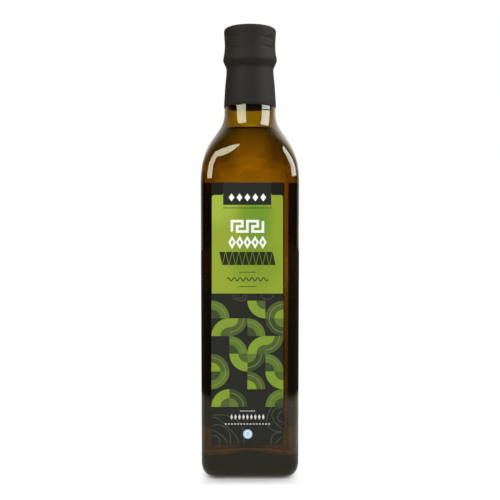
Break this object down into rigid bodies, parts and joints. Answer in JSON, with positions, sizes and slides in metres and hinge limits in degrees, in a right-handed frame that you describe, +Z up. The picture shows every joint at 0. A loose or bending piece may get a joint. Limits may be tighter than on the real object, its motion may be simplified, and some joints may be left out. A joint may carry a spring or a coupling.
{
  "type": "olive oil bottle",
  "caption": "Tall square olive oil bottle of dark amber glass with a round neck, full and shut, with a black capsule over the cap and a green and black label.",
  "frame": {"origin": "centre of the base, on the surface that the bottle stands on", "axes": "+Z up through the neck, -Y towards the front label, +X to the right of someone who reads it"},
  "size_m": [0.0582, 0.0586, 0.2685],
  "materials": {
    "amber_glass": "smooth and clear, brown to dark green where it is thick",
    "golden_oil": "clear golden liquid",
    "black_film": "matte shrink film",
    "front_paper": "satin print, green over near-black",
    "back_paper": "near-black print"
  },
  "bodies": {
    "root": {"bottle": "amber_glass", "oil": "golden_oil", "capsule": "black_film", "front_label": "front_paper", "back_label": "back_paper"}
  },
  "joints": []
}
